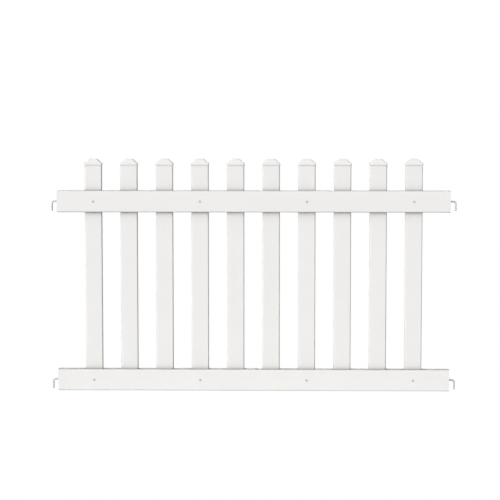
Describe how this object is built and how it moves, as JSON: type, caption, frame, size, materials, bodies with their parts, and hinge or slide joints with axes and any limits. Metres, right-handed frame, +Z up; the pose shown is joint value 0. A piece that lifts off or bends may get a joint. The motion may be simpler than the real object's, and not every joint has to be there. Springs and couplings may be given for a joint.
{
  "type": "picket fence panel",
  "caption": "White vinyl picket fence panel: flat dog-eared pickets pass through two hollow rails, with bent steel hooks at the rail ends that drop into posts.",
  "frame": {"origin": "centre of the lower rail's flat underside, on the ground", "axes": "+X along the rails, to the right as seen from the front; +Y from the front to the back; +Z up"},
  "size_m": [1.858, 0.05, 1.067],
  "materials": {
    "extruded_vinyl": "satin",
    "moulded_vinyl": "satin",
    "zinc_steel": "satin"
  },
  "bodies": {
    "root": {"lower_left_end_plug": "moulded_vinyl", "lower_left_hook": "zinc_steel", "lower_rail": "extruded_vinyl", "lower_right_end_plug": "moulded_vinyl", "lower_right_hook": "zinc_steel", "picket_01": "extruded_vinyl", "picket_02": "extruded_vinyl", "picket_03": "extruded_vinyl", "picket_04": "extruded_vinyl", "picket_05": "extruded_vinyl", "picket_06": "extruded_vinyl", "picket_07": "extruded_vinyl", "picket_08": "extruded_vinyl", "picket_09": "extruded_vinyl", "picket_10": "extruded_vinyl", "picket_cap_01": "moulded_vinyl", "picket_cap_02": "moulded_vinyl", "picket_cap_03": "moulded_vinyl", "picket_cap_04": "moulded_vinyl", "picket_cap_05": "moulded_vinyl", "picket_cap_06": "moulded_vinyl", "picket_cap_07": "moulded_vinyl", "picket_cap_08": "moulded_vinyl", "picket_cap_09": "moulded_vinyl", "picket_cap_10": "moulded_vinyl", "upper_left_end_plug": "moulded_vinyl", "upper_left_hook": "zinc_steel", "upper_rail": "extruded_vinyl", "upper_right_end_plug": "moulded_vinyl", "upper_right_hook": "zinc_steel"}
  },
  "joints": []
}
